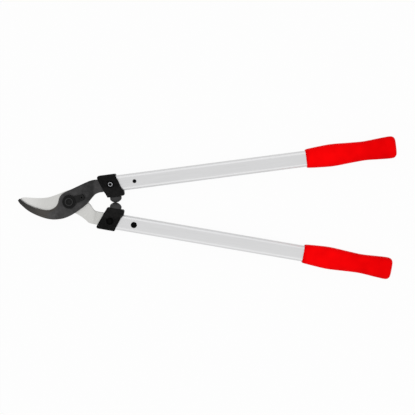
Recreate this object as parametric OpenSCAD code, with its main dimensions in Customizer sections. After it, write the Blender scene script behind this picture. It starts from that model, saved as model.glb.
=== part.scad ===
// Two-handed bypass lopper, lying on its back with the jaws closed.
// The origin is the middle of the pivot bolt head's back face, on the plane that the lopper lies on.
// +X runs along the middle line between the handles, +Y towards the hook's handle, +Z out of the front.

/* [Hook] */
// Distance from the pivot to the hook's tip
hook_reach = 81.8; // [60:0.2:110]
// Depth of the hook's belly below the pivot
hook_belly = 29; // [24:0.2:36]
// Height of the hook's shoulder above the pivot
hook_shoulder = 20.8; // [17:0.2:26]
// Thickness of the hook
hook_t = 7; // [5:0.5:8]
// Width of the bevel along the hook's inner edge
hook_bevel_w = 4; // [2:0.5:5]
// Depth of the bevel along the hook's inner edge
hook_bevel_h = 2.5; // [1:0.5:4]

/* [Blade] */
// Distance from the pivot to the blade's tip
blade_reach = 79.2; // [58:0.2:106]
// Depth of the cutting edge below the pivot
blade_belly = 18.5; // [15:0.5:23]
// Height of the blade's shoulder above the pivot
blade_shoulder = 18.6; // [15:0.2:22]
// Thickness of the blade
blade_t = 5; // [3.5:0.5:7]
// Width of the ground bevel behind the cutting edge
blade_bevel_w = 8; // [4:0.5:10]
// Thickness left at the cutting edge
blade_land = 0.6; // [0.4:0.1:1.2]

/* [Pivot] */
// Radius of the pivot bolt's shank
pivot_r = 5; // [3.5:0.25:6]
// Radius of the bolt's head
bolt_head_r = 10; // [8:0.5:13]
// Thickness of the bolt's head
bolt_head_t = 4; // [3:0.25:6]
// Width across the two flats of the bolt's head
bolt_flats_w = 17; // [14:0.5:20]
// Radius of the wear washer
washer_r = 11; // [8:0.5:14]
// Thickness of the wear washer
washer_t = 1; // [0.5:0.25:2]
// Radius over the teeth of the adjusting nut
nut_r = 11; // [8.5:0.2:12]
// Thickness of the nut's toothed flange
nut_flange_t = 3; // [2:0.25:5]
// Height of the nut's hub above its flange
nut_hub_t = 2; // [1:0.25:4]
// Wall of the nut's hub round the bolt
nut_hub_wall = 2; // [1.25:0.25:3]
// Number of teeth on the nut
nut_teeth = 36; // [24:2:48]
// Depth of a tooth
nut_tooth = 0.8; // [0.4:0.1:1.2]
// How far the bolt's end stands out of the nut
bolt_end = 0.6; // [0:0.2:2]

/* [Lock segment] */
// Distance from the nut's teeth to the segment's screw
segment_reach = 10.4; // [10:0.2:15]
// Direction of the segment, in degrees from +X
segment_angle = 20; // [10:1:35]
// Thickness of the segment
segment_t = 2.4; // [1.5:0.1:4]
// Radius of the segment's eye
segment_eye_r = 5; // [4:0.25:6]
// Width of the segment at the nut
segment_mouth_w = 12; // [9:0.5:15]
// Radius of the segment screw's shank
segment_screw_r = 2; // [1.5:0.25:2.5]
// Depth of the segment screw in the hook
segment_screw_len = 4.5; // [3:0.5:5]
// Radius of the segment screw's head
segment_head_r = 3.9; // [3:0.1:4.5]
// Thickness of the segment screw's head
segment_head_t = 2.2; // [1.5:0.1:3]

/* [Handles] */
// Angle of each closed handle from the middle line
handle_angle = 8.6; // [7:0.2:11]
// Distance of each tube's axis from the pivot
handle_offset = 19.1; // [17:0.1:22]
// Distance from the pivot to the necks' ends, along the tubes
neck_len = 49.2; // [44:0.2:60]
// How far the jaws and the roots of the necks are set forward of the pivot
jaw_forward = 1.8; // [0:0.1:3]
// Length of the tubes
tube_len = 457; // [250:0.5:700]
// Width of the tubes
tube_w = 25.5; // [24:0.5:32]
// Thickness of the tubes, front to back
tube_t = 14; // [12.5:0.5:16]
// Wall of the tubes
tube_wall = 2; // [1:0.25:2.5]
// Corner radius of the tubes
tube_corner_r = 6; // [3:0.5:6]
// Distance from a neck's end to the tube's mouth
tube_inset = 12.5; // [11:0.5:16]
// Width of the necks where they enter the collars
neck_w = 20.9; // [19:0.1:21]
// How far the necks' middle lies inside the tubes' axis
neck_shift = 0.4; // [0:0.1:0.8]
// Width of the tangs inside the tubes
tang_w = 17; // [14:0.2:18]
// Length of the shoulder from a neck to its tang
tang_shoulder = 2; // [1:0.25:4]
// Length of the straight tangs
tang_len = 68; // [64:1:110]
// Length of the inserts past the tangs
insert_end = 4; // [2:0.5:12]

/* [Collars] */
// How far the collars lap over the necks
collar_lap = 1.4; // [0:0.1:2]
// Length of the collars along their outer side
collar_len = 30; // [27:0.5:40]
// Thickness of the collars, front to back
collar_t = 22; // [20:0.5:28]
// Wall of the collars on the tube's narrow sides
collar_side = 2.95; // [1.25:0.05:3.5]
// Corner radius of the collars
collar_corner_r = 6.5; // [3:0.5:8]
// Lean of the collars' front edge, in degrees
collar_front_lean = 20; // [10:1:22]
// Lean of the collars' rear edge, in degrees
collar_rear_lean = 17.5; // [10:0.5:25]
// Thickness of the web under the sleeve
collar_web_t = 14; // [8:0.5:18]
// How far the web's rear lobe stands out behind the sleeve
collar_lobe = 0.4; // [0.2:0.2:3]
// How far that lobe laps over the tube's edge
collar_lobe_lap = 1; // [0:0.1:2]
// Rounding of the collars' outline
collar_round = 1.6; // [0.8:0.2:2]
// Rounding of the collars' pointed front corner
collar_nose_r = 3.2; // [1:0.2:5]

/* [Bumpers] */
// Radius of the rubber domes at their foot
bumper_r = 9.4; // [7.5:0.1:9.6]
// Height of the rubber domes
bumper_h = 9.4; // [7.5:0.1:9.6]
// Radius of the round nose of a dome
bumper_nose_r = 10.4; // [9.8:0.1:12]
// Radius of the stem under a dome
bumper_stem_r = 6; // [4:0.25:6.5]
// Wall of the boss outside the dome
boss_wall = 1.1; // [0.8:0.1:1.4]
// Distance from a neck's end to the dome's axis
bumper_inset = 24.3; // [23:0.1:28]
// Gap between the closed domes
bumper_gap = 0.3; // [0.2:0.1:4]

/* [Grips] */
// Length of the grips
grip_len = 143.8; // [100:0.1:180]
// Greatest width of the grips
grip_w = 35.6; // [33.5:0.1:42]
// Greatest thickness of the grips
grip_t = 22; // [20:0.5:30]
// Wall of the grips behind the tube's end
grip_end_wall = 6.5; // [3:0.5:12]
// Rounding of the grips' end
grip_end_r = 7.5; // [4:0.5:9]
// Rounding of the grips' mouth
grip_lip = 1.2; // [0.5:0.1:1.5]
// How far the grips' end lies outside the tubes' axis
grip_drift = 0.6; // [0:0.1:1.2]

/* [Handle fasteners] */
// Distance from a neck's end to the collar bolt
collar_bolt_inset = 19.6; // [18:0.2:24]
// Radius of the collar bolt
collar_bolt_r = 3; // [2:0.25:3.5]
// Radius of the collar bolt's head
collar_head_r = 4; // [4:0.1:5.5]
// Thickness of the collar bolt's head
collar_head_t = 2.3; // [1.5:0.1:2.6]
// Width across flats of the collar bolt's socket
collar_socket_w = 5; // [2.5:0.1:5]
// Depth of the collar bolt's socket
collar_socket_depth = 2; // [1.5:0.5:8]
// Width across flats of the collar nut
collar_nut_w = 8; // [7.5:0.5:10]
// Thickness of the collar nut
collar_nut_t = 2; // [1.5:0.1:2.4]
// Gap round the bolt's head or the nut in the collars' recesses, at its least
collar_recess_gap = 1.1; // [0.2:0.1:1.6]
// Distance from a neck's end to the tube screw
tube_screw_inset = 58; // [48:1:60]
// Radius of the tube screw
tube_screw_r = 3; // [1.5:0.25:3.5]
// Radius of the tube screw's head
tube_head_r = 4.8; // [4:0.1:6]
// Thickness of the tube screw's head
tube_head_t = 2; // [1:0.1:3]

/* [Clearances] */
// Gap between flat faces that slide past each other
slide_gap = 0.1; // [0.05:0.01:0.2]
// Radial running clearance of the blade on the bolt
turn_fit = 0.05; // [0.02:0.01:0.1]
// Radial clearance of bolts and screws in their holes
hole_fit = 0.1; // [0.05:0.05:0.3]
// Clearance of pieces that seat in each other
seat_fit = 0.1; // [0.05:0.05:0.3]

/* [Hidden] */
$fn = 64;

// Small edges: broken corners, and how deep heads, nuts and sockets sit
edge_break = 0.6;
head_chamfer = 0.8;
head_sink = 0.3;
nut_sink = 1.4;
segment_socket_depth = 1.6;
segment_socket_w = 2.5;
bolt_dimple_r = 2.6;
bolt_dimple_depth = 1.2;
cut_over = 1;

// Steps of the curves
rail_steps = 5;
corner_steps = 5;
grip_steps = 3;
grip_sides = 32;
grip_end_steps = 5;

// Levels, from the plane that the lopper lies on
blade_z0 = bolt_head_t + washer_t + slide_gap;
blade_z1 = blade_z0 + blade_t;
hook_z0 = blade_z1 + slide_gap;
hook_z1 = hook_z0 + hook_t;
nut_z1 = hook_z1 + nut_flange_t + nut_hub_t;
mid_z = max(collar_t, grip_t) / 2;
hook_lift = mid_z - (hook_z0 + hook_z1) / 2;
blade_lift = mid_z - (blade_z0 + blade_z1) / 2;

// Places along a handle, from the foot of the pivot on the tube's axis
tube_start = neck_len + tube_inset;
collar_start = neck_len - collar_lap;
tube_end = tube_start + tube_len;
tang_end = neck_len + tang_len;
grip_end = tube_end + grip_end_wall;
grip_start = grip_end - grip_len;
bumper_s = neck_len + bumper_inset;
collar_bolt_s = neck_len + collar_bolt_inset;
tube_screw_s = neck_len + tube_screw_inset;

// The domes' noses are set where the two domes just fail to meet on the middle line
nose_y = bumper_nose_r + bumper_gap / 2;
nose_t = (nose_y - bumper_s * sin(handle_angle)) / cos(handle_angle) - handle_offset;
bumper_t = nose_t + bumper_h - bumper_nose_r;
sleeve_w = tube_w + 2 * collar_side;
collar_recess_r = max(collar_head_r, collar_nut_w / sqrt(3)) + collar_recess_gap;
neck_out_t = neck_w / 2 - neck_shift;
neck_in_t = -neck_w / 2 - neck_shift;
boss_r = bumper_r + boss_wall;
stem_len = -bumper_t - sleeve_w / 2;
segment_d = nut_r + segment_reach;

// The jaws' outlines, as shares of the length from root to tip and of the height or depth
hook_edge_shares = [
    [-0.973, 0.149], [-0.929, -0.01], [-0.841, -0.177], [-0.737, -0.312], [-0.604, -0.43], [-0.495, -0.494],
    [-0.388, -0.496], [-0.296, -0.388], [-0.236, -0.231], [-0.204, -0.048], [-0.181, 0.257], [-0.131, 0.56],
    [-0.038, 0.79], [0.08, 1]
];
hook_back_shares = [
    [-1, 0.019], [-0.969, -0.128], [-0.905, -0.3], [-0.807, -0.522], [-0.673, -0.725], [-0.531, -0.878],
    [-0.406, -0.969], [-0.29, -1], [-0.18, -0.976], [-0.085, -0.921], [0.01, -0.816], [0.101, -0.679],
    [0.186, -0.503], [0.268, -0.341]
];
blade_spine_shares = [
    [-1, 0.161], [-0.972, 0.23], [-0.879, 0.262], [-0.758, 0.231], [-0.594, 0.224], [-0.465, 0.278],
    [-0.363, 0.388], [-0.238, 0.586], [-0.142, 0.753], [-0.039, 0.925], [0.09, 1], [0.22, 0.86],
    [0.323, 0.484]
];
blade_edge_shares = [
    [-0.997, 0.108], [-0.963, -0.065], [-0.908, -0.227], [-0.819, -0.486], [-0.685, -0.757], [-0.536, -0.946],
    [-0.389, -1], [-0.246, -0.973], [-0.117, -0.897], [0, -0.875], [0.09, -0.955], [0.175, -1.09]
];

// The necks between jaw and collar, as shares of the length from root to end and, outside, of the
// neck's reach from the tube's axis, inside, of the handle's offset
hook_neck_out_shares = [[0.406, 0.435], [0.58, 0.714], [0.735, 0.934], [0.863, 1.02]];
hook_neck_in_shares = [[0.567, -1.362], [0.68, -1.095], [0.775, -0.855], [0.859, -0.675]];
blade_neck_out_shares = [[0.465, 0.2], [0.61, 0.59], [0.718, 0.945], [0.831, 1.03]];
blade_neck_in_shares = [[0.628, -1.14], [0.722, -0.908], [0.837, -0.61]];

// Where between root and end each neck is cranked to the middle of the handles
hook_crank_shares = [0.67, 0.83];
blade_crank_shares = [0.82, 0.97];

// Between which outline points a bevel fades out, and the most of the width that it takes
hook_bevel_fade = [8, 11];
blade_bevel_fade = [8, 10.5];
bevel_share = 0.6;

// The grips: place along the length, half width and half thickness
grip_shape_shares = [
    [0, 0.845, 0.86], [0.165, 0.952, 0.95], [0.3, 1, 1], [0.46, 0.925, 0.945], [0.62, 0.857, 0.9],
    [0.7, 0.872, 0.915], [0.81, 0.938, 0.97], [0.915, 0.99, 1]
];
grip_squareness = 2.8;
// How much of the rounding's quarter turn the grips' end has before it goes flat
grip_end_turn = 80;

HOOK_COLOUR = "#3c3c3e";
BLADE_COLOUR = "#cdcdc9";
TUBE_COLOUR = "#d8d8d8";
COLLAR_COLOUR = "#161616";
RUBBER_COLOUR = "#2c2c2d";
GRIP_COLOUR = "#e60000";
ZINC_COLOUR = "#b9bcc0";
BLACK_STEEL_COLOUR = "#1c1c1d";
INSERT_COLOUR = "#5a5a5a";

function unit(v) = v / norm(v);
function smooth(u) = let (v = min(1, max(0, u))) v * v * (3 - 2 * v);
function arc(c, r, from, to, steps) = [
    for (i = [0:steps]) let (a = from + (to - from) * i / steps) c + r * [cos(a), sin(a)]
];

// A smooth curve through hand-set points
function spline_point(p, i, u) =
    let (
        a = p[max(i - 1, 0)],
        b = p[i],
        c = p[i + 1],
        d = p[min(i + 2, len(p) - 1)]
    )
    b + (u * (c - a) + u * u * (2 * a - 5 * b + 4 * c - d) + u * u * u * (3 * b - a - 3 * c + d)) / 2;
function spline(p, steps) = [
    for (i = [0:len(p) - 2], k = [0:steps - 1]) spline_point(p, i, k / steps),
    p[len(p) - 1]
];

// A rectangle about the origin with round corners, and an outline with a radius for each of its corners
function rounded_rect(w, h, r) = concat(
    arc([w / 2 - r, h / 2 - r], r, 0, 90, corner_steps),
    arc([r - w / 2, h / 2 - r], r, 90, 180, corner_steps),
    arc([r - w / 2, r - h / 2], r, 180, 270, corner_steps),
    arc([w / 2 - r, r - h / 2], r, 270, 360, corner_steps)
);
function corner_arc(a, p, b, r) =
    let (
        u = unit(a - p),
        v = unit(b - p),
        half = acos(u * v) / 2,
        c = p + unit(u + v) * r / sin(half),
        s = p + u * r / tan(half) - c,
        e = p + v * r / tan(half) - c,
        from = atan2(s.y, s.x)
    )
    arc(c, r, from, from + atan2(s.x * e.y - s.y * e.x, s * e), corner_steps);
function rounded(p, radii) = [
    for (i = [0:len(p) - 1])
        each corner_arc(p[(i + len(p) - 1) % len(p)], p[i], p[(i + 1) % len(p)], radii[i])
];

// Places on a handle: side is 1 for the hook's handle and -1 for the blade's
function handle_point(side, s, t) = [
    s * cos(handle_angle) - (t + handle_offset) * sin(handle_angle),
    side * (s * sin(handle_angle) + (t + handle_offset) * cos(handle_angle))
];
function handle_s(side, p) = p.x * cos(handle_angle) + side * p.y * sin(handle_angle);

// One long edge of a jaw: curved from the tip to the collar, straight to the shoulder, then along the tang
function jaw_points(shares, reach, up, down) = [
    for (q = shares) [q.x * (reach - jaw_forward) - jaw_forward, q.y * (q.y > 0 ? up : down)]
];
function neck_points(side, shares, t_unit) = [
    for (q = shares) handle_point(side, q.x * (neck_len + jaw_forward) - jaw_forward, q.y * t_unit)
];
function rail(side, jaw, neck, neck_t, tang_t) = concat(
    spline(concat(jaw, neck, [handle_point(side, neck_len, neck_t)]), rail_steps),
    [
        handle_point(side, tube_start - seat_fit - tang_shoulder, neck_t),
        handle_point(side, tube_start - seat_fit, tang_t),
        handle_point(side, tang_end, tang_t)
    ]
);

// One slice across a jaw from edge a to edge b, each with its bevels [width, height] below and above
function slice(a, b, z0, z1, a_bevels, b_bevels) =
    let (
        d = unit(b - a),
        flat = [
            [a + d * a_bevels[0].x, z0], [a, z0 + a_bevels[0].y],
            [a, z1 - a_bevels[1].y], [a + d * a_bevels[1].x, z1],
            [b - d * b_bevels[1].x, z1], [b, z1 - b_bevels[1].y],
            [b, z0 + b_bevels[0].y], [b - d * b_bevels[0].x, z0]
        ]
    )
    [for (q = flat) [q[0].x, q[0].y, q[1]]];
function fading_bevel(w, h, a, b, i, fade) =
    let (f = 1 - smooth((i / rail_steps - fade[0]) / (fade[1] - fade[0])))
    [
        max(edge_break / 2, min(max(edge_break, w * f), norm(b - a) * bevel_share / 2 * (1 + f))),
        max(edge_break, h * f)
    ];
function tip_break(a, b) =
    let (w = min(edge_break, norm(b - a) * (1 - bevel_share) / 2)) [w, edge_break];
function crank(side, a, b, lift, shares) =
    let (
        s = (handle_s(side, a) + handle_s(side, b)) / 2,
        share = (s + jaw_forward) / (neck_len + jaw_forward)
    )
    lift * smooth((share - shares[0]) / (shares[1] - shares[0]));

// A closed skin over slices that all have as many points
module skin(slices) {
    n = len(slices[0]);
    last = len(slices) - 1;
    polyhedron(
        points = [for (s = slices) each s],
        faces = concat(
            [[for (j = [0:n - 1]) j]],
            [[for (j = [0:n - 1]) last * n + n - 1 - j]],
            [
                for (i = [0:last - 1], j = [0:n - 1])
                    let (k = (j + 1) % n, p = i * n, q = p + n)
                    each [[p + j, q + k, p + k], [p + j, q + j, q + k]]
            ]
        )
    );
}

// Frames of the two handles, the lower one turned over about the middle line
module on_upper() {
    translate([0, 0, mid_z]) rotate([0, 0, handle_angle]) translate([0, handle_offset, 0]) children();
}
module on_lower() {
    translate([0, 0, mid_z]) rotate([180, 0, 0]) rotate([0, 0, handle_angle])
        translate([0, handle_offset, 0]) children();
}
module on_segment_screw() {
    rotate([0, 0, segment_angle]) translate([segment_d, 0, hook_z1]) children();
}

// A cross-section drawn out along a handle
module along(start, length) {
    translate([start, 0, 0]) rotate([90, 0, 90]) linear_extrude(length) children();
}
module tube_section(grow) {
    polygon(rounded_rect(tube_w + 2 * grow, tube_t + 2 * grow, tube_corner_r + grow));
}

// Holes right through a handle
module cross_hole(s, r) {
    translate([s, 0, -collar_t]) cylinder(r = r + hole_fit, h = 2 * collar_t);
}
module handle_holes() {
    cross_hole(collar_bolt_s, collar_bolt_r);
    cross_hole(tube_screw_s, tube_screw_r);
}

// A hexagon of the given width across its flats
module hexagon(w, h) {
    cylinder(r = w / sqrt(3), h = h, $fn = 6);
}
// A round head with a chamfered top edge
module round_head(r, t) {
    cylinder(r = r, h = t - head_chamfer);
    translate([0, 0, t - head_chamfer]) cylinder(r1 = r, r2 = r - head_chamfer, h = head_chamfer);
}

// The hook that holds the branch
module hook_blade() {
    edge = rail(
        1,
        jaw_points(hook_edge_shares, hook_reach, hook_shoulder, hook_belly),
        neck_points(1, hook_neck_out_shares, neck_out_t),
        neck_out_t,
        tang_w / 2
    );
    back = rail(
        1,
        jaw_points(hook_back_shares, hook_reach, hook_shoulder, hook_belly),
        neck_points(1, hook_neck_in_shares, handle_offset),
        neck_in_t,
        -tang_w / 2
    );
    color(HOOK_COLOUR) difference() {
        skin([
            for (i = [0:len(edge) - 1])
                let (
                    a = edge[i],
                    b = back[i],
                    lift = crank(1, a, b, hook_lift, hook_crank_shares),
                    bevel = fading_bevel(hook_bevel_w, hook_bevel_h, a, b, i, hook_bevel_fade),
                    small = tip_break(a, b)
                )
                slice(a, b, hook_z0 + lift, hook_z1 + lift, [small, bevel], [small, small])
        ]);
        translate([0, 0, hook_z0 - cut_over]) cylinder(r = pivot_r + turn_fit, h = hook_t + 2 * cut_over);
        on_segment_screw() translate([0, 0, -segment_screw_len - seat_fit])
            cylinder(r = segment_screw_r + hole_fit, h = segment_screw_len + seat_fit + cut_over);
        on_upper() handle_holes();
    }
}

// The blade that slides past the hook
module cutting_blade() {
    spine = rail(
        -1,
        jaw_points(blade_spine_shares, blade_reach, blade_shoulder, blade_belly),
        neck_points(-1, blade_neck_in_shares, handle_offset),
        neck_in_t,
        -tang_w / 2
    );
    edge = rail(
        -1,
        jaw_points(blade_edge_shares, blade_reach, blade_shoulder, blade_belly),
        neck_points(-1, blade_neck_out_shares, neck_out_t),
        neck_out_t,
        tang_w / 2
    );
    color(BLADE_COLOUR) difference() {
        skin([
            for (i = [0:len(edge) - 1])
                let (
                    a = spine[i],
                    b = edge[i],
                    lift = crank(-1, a, b, blade_lift, blade_crank_shares),
                    ground = blade_t - blade_land,
                    bevel = fading_bevel(blade_bevel_w, ground, a, b, i, blade_bevel_fade),
                    small = tip_break(a, b),
                    land = [small.x / 2, blade_land / 2]
                )
                slice(a, b, blade_z0 + lift, blade_z1 + lift, [small, small], [bevel, land])
        ]);
        translate([0, 0, blade_z0 - cut_over]) cylinder(r = pivot_r + turn_fit, h = blade_t + 2 * cut_over);
        on_lower() handle_holes();
    }
}

// The pivot: bolt from behind, washer, toothed nut in front
module pivot_bolt() {
    color(BLACK_STEEL_COLOUR) difference() {
        union() {
            intersection() {
                translate([0, 0, bolt_head_t]) rotate([180, 0, 0]) round_head(bolt_head_r, bolt_head_t);
                translate([-bolt_flats_w / 2, -bolt_head_r, 0])
                    cube([bolt_flats_w, 2 * bolt_head_r, bolt_head_t]);
            }
            translate([0, 0, bolt_head_t / 2])
                cylinder(r = pivot_r, h = nut_z1 + bolt_end - bolt_head_t / 2);
        }
        translate([0, 0, nut_z1 + bolt_end - bolt_dimple_depth])
            cylinder(r = bolt_dimple_r, h = bolt_dimple_depth + cut_over);
    }
}
module pivot_washer() {
    color(ZINC_COLOUR) translate([0, 0, bolt_head_t]) difference() {
        cylinder(r = washer_r, h = washer_t);
        translate([0, 0, -cut_over]) cylinder(r = pivot_r + turn_fit, h = washer_t + 2 * cut_over);
    }
}
function nut_outline(r) = [
    for (i = [0:2 * nut_teeth - 1])
        let (a = 180 * i / nut_teeth) (r - nut_tooth * (i % 2)) * [cos(a), sin(a)]
];
module pivot_nut() {
    color(BLACK_STEEL_COLOUR) translate([0, 0, hook_z1]) difference() {
        union() {
            linear_extrude(nut_flange_t) polygon(nut_outline(nut_r));
            translate([0, 0, nut_flange_t / 2])
                round_head(pivot_r + nut_hub_wall, nut_flange_t / 2 + nut_hub_t);
        }
        translate([0, 0, -cut_over])
            cylinder(r = pivot_r + turn_fit, h = nut_flange_t + nut_hub_t + 2 * cut_over);
    }
}

// The toothed plate that holds the nut, and its screw
module lock_segment() {
    outline = concat(
        [[nut_r - 2 * nut_tooth, segment_mouth_w / 2], [nut_r - 2 * nut_tooth, -segment_mouth_w / 2]],
        arc([segment_d, 0], segment_eye_r, -90, 90, 2 * corner_steps)
    );
    color(BLACK_STEEL_COLOUR) difference() {
        translate([0, 0, hook_z1]) linear_extrude(segment_t) difference() {
            rotate(segment_angle) polygon(outline);
            polygon(nut_outline(nut_r + seat_fit));
        }
        on_segment_screw() translate([0, 0, -cut_over])
            cylinder(r = segment_screw_r + hole_fit, h = segment_t + 2 * cut_over);
    }
}
module segment_screw() {
    color(BLACK_STEEL_COLOUR) on_segment_screw() difference() {
        union() {
            translate([0, 0, segment_t]) round_head(segment_head_r, segment_head_t);
            translate([0, 0, -segment_screw_len])
                cylinder(r = segment_screw_r, h = segment_screw_len + segment_t + segment_head_t / 2);
        }
        translate([0, 0, segment_t + segment_head_t - segment_socket_depth])
            hexagon(segment_socket_w, segment_socket_depth + cut_over);
    }
}

// The oval handle tube, and the packing that holds a flat tang in it
module tube() {
    color(TUBE_COLOUR) difference() {
        along(tube_start, tube_len) tube_section(0);
        along(tube_start - cut_over, tube_len + 2 * cut_over) tube_section(-tube_wall);
        handle_holes();
    }
}
module tang_insert(tang_t) {
    slot_h = tang_t + 2 * seat_fit;
    slot_w = tang_w + 2 * seat_fit;
    color(INSERT_COLOUR) difference() {
        along(tube_start, tang_end + insert_end - tube_start) tube_section(-tube_wall - seat_fit);
        translate([tube_start - cut_over, -slot_w / 2, -slot_h / 2])
            cube([tang_end - tube_start + seat_fit + cut_over, slot_w, slot_h]);
        handle_holes();
    }
}

// The collar: a sleeve with leaning ends, a web below it and the round boss of the bumper
function front_s(t) = collar_start + (sleeve_w / 2 - t) * tan(collar_front_lean);
function rear_s(t) = collar_start + collar_len + (sleeve_w / 2 - t) * tan(collar_rear_lean);
module collar(tang_t) {
    top = sleeve_w / 2;
    lobe_t = (bumper_t - top) / 2;
    lobe_top_t = collar_lobe_lap - tube_w / 2;
    sleeve = [[front_s(top), top], [front_s(-top), -top], [rear_s(-top), -top], [rear_s(top), top]];
    web = [
        [front_s(0), 0], [front_s(bumper_t), bumper_t],
        [rear_s(-top) - 2 * collar_lobe, bumper_t], [rear_s(-top) + collar_lobe, lobe_t],
        [rear_s(-top) + collar_lobe, lobe_top_t], [rear_s(0), lobe_top_t], [rear_s(0), 0]
    ];
    slot_h = tang_t + 2 * seat_fit;
    slot_w = neck_w + 2 * seat_fit;
    color(COLLAR_COLOUR) difference() {
        union() {
            intersection() {
                along(collar_start - cut_over, collar_len + sleeve_w)
                    polygon(rounded_rect(sleeve_w, collar_t, collar_corner_r));
                translate([0, 0, -collar_t]) linear_extrude(2 * collar_t)
                    polygon(rounded(sleeve, [collar_nose_r, collar_round, collar_round, collar_round]));
            }
            translate([0, 0, -collar_web_t / 2]) linear_extrude(collar_web_t)
                polygon(rounded(web, [for (q = web) collar_round]));
            translate([bumper_s, bumper_t, 0]) rotate([-90, 0, 0]) cylinder(r = boss_r, h = -bumper_t);
        }
        along(tube_start - seat_fit, collar_len + sleeve_w) tube_section(seat_fit);
        translate([collar_start - cut_over, -neck_shift - slot_w / 2, -slot_h / 2])
            cube([tube_start - collar_start + 2 * cut_over, slot_w, slot_h]);
        translate([bumper_s, bumper_t - cut_over, 0]) rotate([-90, 0, 0])
            cylinder(r = bumper_stem_r + seat_fit, h = stem_len + seat_fit + cut_over);
        cross_hole(collar_bolt_s, collar_bolt_r);
        translate([collar_bolt_s, 0, collar_t / 2 - collar_head_t - head_sink])
            cylinder(r = collar_recess_r, h = collar_head_t + head_sink + cut_over);
        translate([collar_bolt_s, 0, -collar_t / 2 - cut_over])
            cylinder(r = collar_recess_r, h = collar_nut_t + nut_sink + cut_over);
    }
}

// The rubber dome that stops the handles, on its stem
module bumper() {
    color(RUBBER_COLOUR) translate([bumper_s, bumper_t, 0]) rotate([90, 0, 0]) {
        intersection() {
            translate([0, 0, bumper_h - bumper_nose_r]) sphere(r = bumper_nose_r);
            cylinder(r = bumper_r, h = bumper_h + cut_over);
        }
        translate([0, 0, -stem_len]) cylinder(r = bumper_stem_r, h = stem_len + bumper_h / 2);
    }
}

// The soft grip over the tube's end
function grip_slice(s, w, t) = [
    for (j = [0:grip_sides - 1])
        let (
            a = 360 * j / grip_sides,
            p = 2 / grip_squareness,
            middle = grip_drift * (s - grip_start) / grip_len
        )
        [s, middle + w * sign(cos(a)) * pow(abs(cos(a)), p), t * sign(sin(a)) * pow(abs(sin(a)), p)]
];
module grip() {
    shape = spline(
        [
            for (q = grip_shape_shares)
                [grip_start + q[0] * grip_len, q[1] * grip_w / 2, q[2] * grip_t / 2]
        ],
        grip_steps
    );
    mouth = shape[0];
    swell = shape[len(shape) - 1];
    round_s = grip_end - grip_end_r * sin(grip_end_turn);
    color(GRIP_COLOUR) difference() {
        skin(concat(
            [grip_slice(mouth[0], mouth[1] - grip_lip, mouth[2] - grip_lip)],
            [grip_slice(mouth[0] + grip_lip, mouth[1], mouth[2])],
            [for (i = [1:len(shape) - 1]) grip_slice(shape[i][0], shape[i][1], shape[i][2])],
            [
                for (i = [0:grip_end_steps])
                    let (
                        a = grip_end_turn * i / grip_end_steps,
                        inward = grip_end_r * (1 - cos(a))
                    )
                    grip_slice(round_s + grip_end_r * sin(a), swell[1] - inward, swell[2] - inward)
            ]
        ));
        along(grip_start - cut_over, tube_end - grip_start + seat_fit + cut_over) tube_section(seat_fit);
    }
}

// The screws of one handle
module collar_bolt() {
    seat = collar_t / 2 - collar_head_t - head_sink;
    tip = nut_sink - collar_t / 2;
    color(ZINC_COLOUR) translate([collar_bolt_s, 0, 0]) difference() {
        union() {
            translate([0, 0, seat]) round_head(collar_head_r, collar_head_t);
            translate([0, 0, tip]) cylinder(r = collar_bolt_r, h = seat - tip + collar_head_t / 2);
        }
        translate([0, 0, seat + collar_head_t - collar_socket_depth])
            hexagon(collar_socket_w, collar_socket_depth + cut_over);
    }
}
module collar_nut() {
    color(BLACK_STEEL_COLOUR) translate([collar_bolt_s, 0, nut_sink - collar_t / 2]) difference() {
        hexagon(collar_nut_w, collar_nut_t);
        translate([0, 0, -cut_over])
            cylinder(r = collar_bolt_r + hole_fit / 2, h = collar_nut_t + 2 * cut_over);
    }
}
module tube_screw() {
    color(BLACK_STEEL_COLOUR) translate([tube_screw_s, 0, -tube_t / 2]) {
        rotate([180, 0, 0]) round_head(tube_head_r, tube_head_t);
        translate([0, 0, -tube_head_t / 2])
            cylinder(r = tube_screw_r, h = tube_t + tube_head_t / 2 - head_sink);
    }
}

hook_blade();
cutting_blade();
pivot_bolt();
pivot_washer();
pivot_nut();
lock_segment();
segment_screw();
on_upper() tube();  // upper_tube
on_upper() tang_insert(hook_t);  // upper_tang_insert
on_upper() collar(hook_t);  // upper_collar
on_upper() bumper();  // upper_bumper
on_upper() grip();  // upper_grip
on_upper() collar_bolt();  // upper_collar_bolt
on_upper() collar_nut();  // upper_collar_nut
on_upper() tube_screw();  // upper_tube_screw
on_lower() tube();  // lower_tube
on_lower() tang_insert(blade_t);  // lower_tang_insert
on_lower() collar(blade_t);  // lower_collar
on_lower() bumper();  // lower_bumper
on_lower() grip();  // lower_grip
on_lower() collar_bolt();  // lower_collar_bolt
on_lower() collar_nut();  // lower_collar_nut
on_lower() tube_screw();  // lower_tube_screw
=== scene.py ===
# %% [markdown]
# # A two-handed bypass lopper
# The construction of this tool is already settled: every piece comes in at its real size and place, in
# metres, lying on its back with the jaws closed. This lesson gives each piece its real surface. The
# camera and the studio come first. After that, each step makes a finish and the pieces that wear it:
# plates are softened copies of their solids, mouldings are rounded over, and what is drawn, turned or cut
# to a rule is made afresh by Geometry Nodes.

# %% Load the construction
import math

import bmesh
import bpy
import numpy as np
from mathutils import Matrix, Vector


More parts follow.
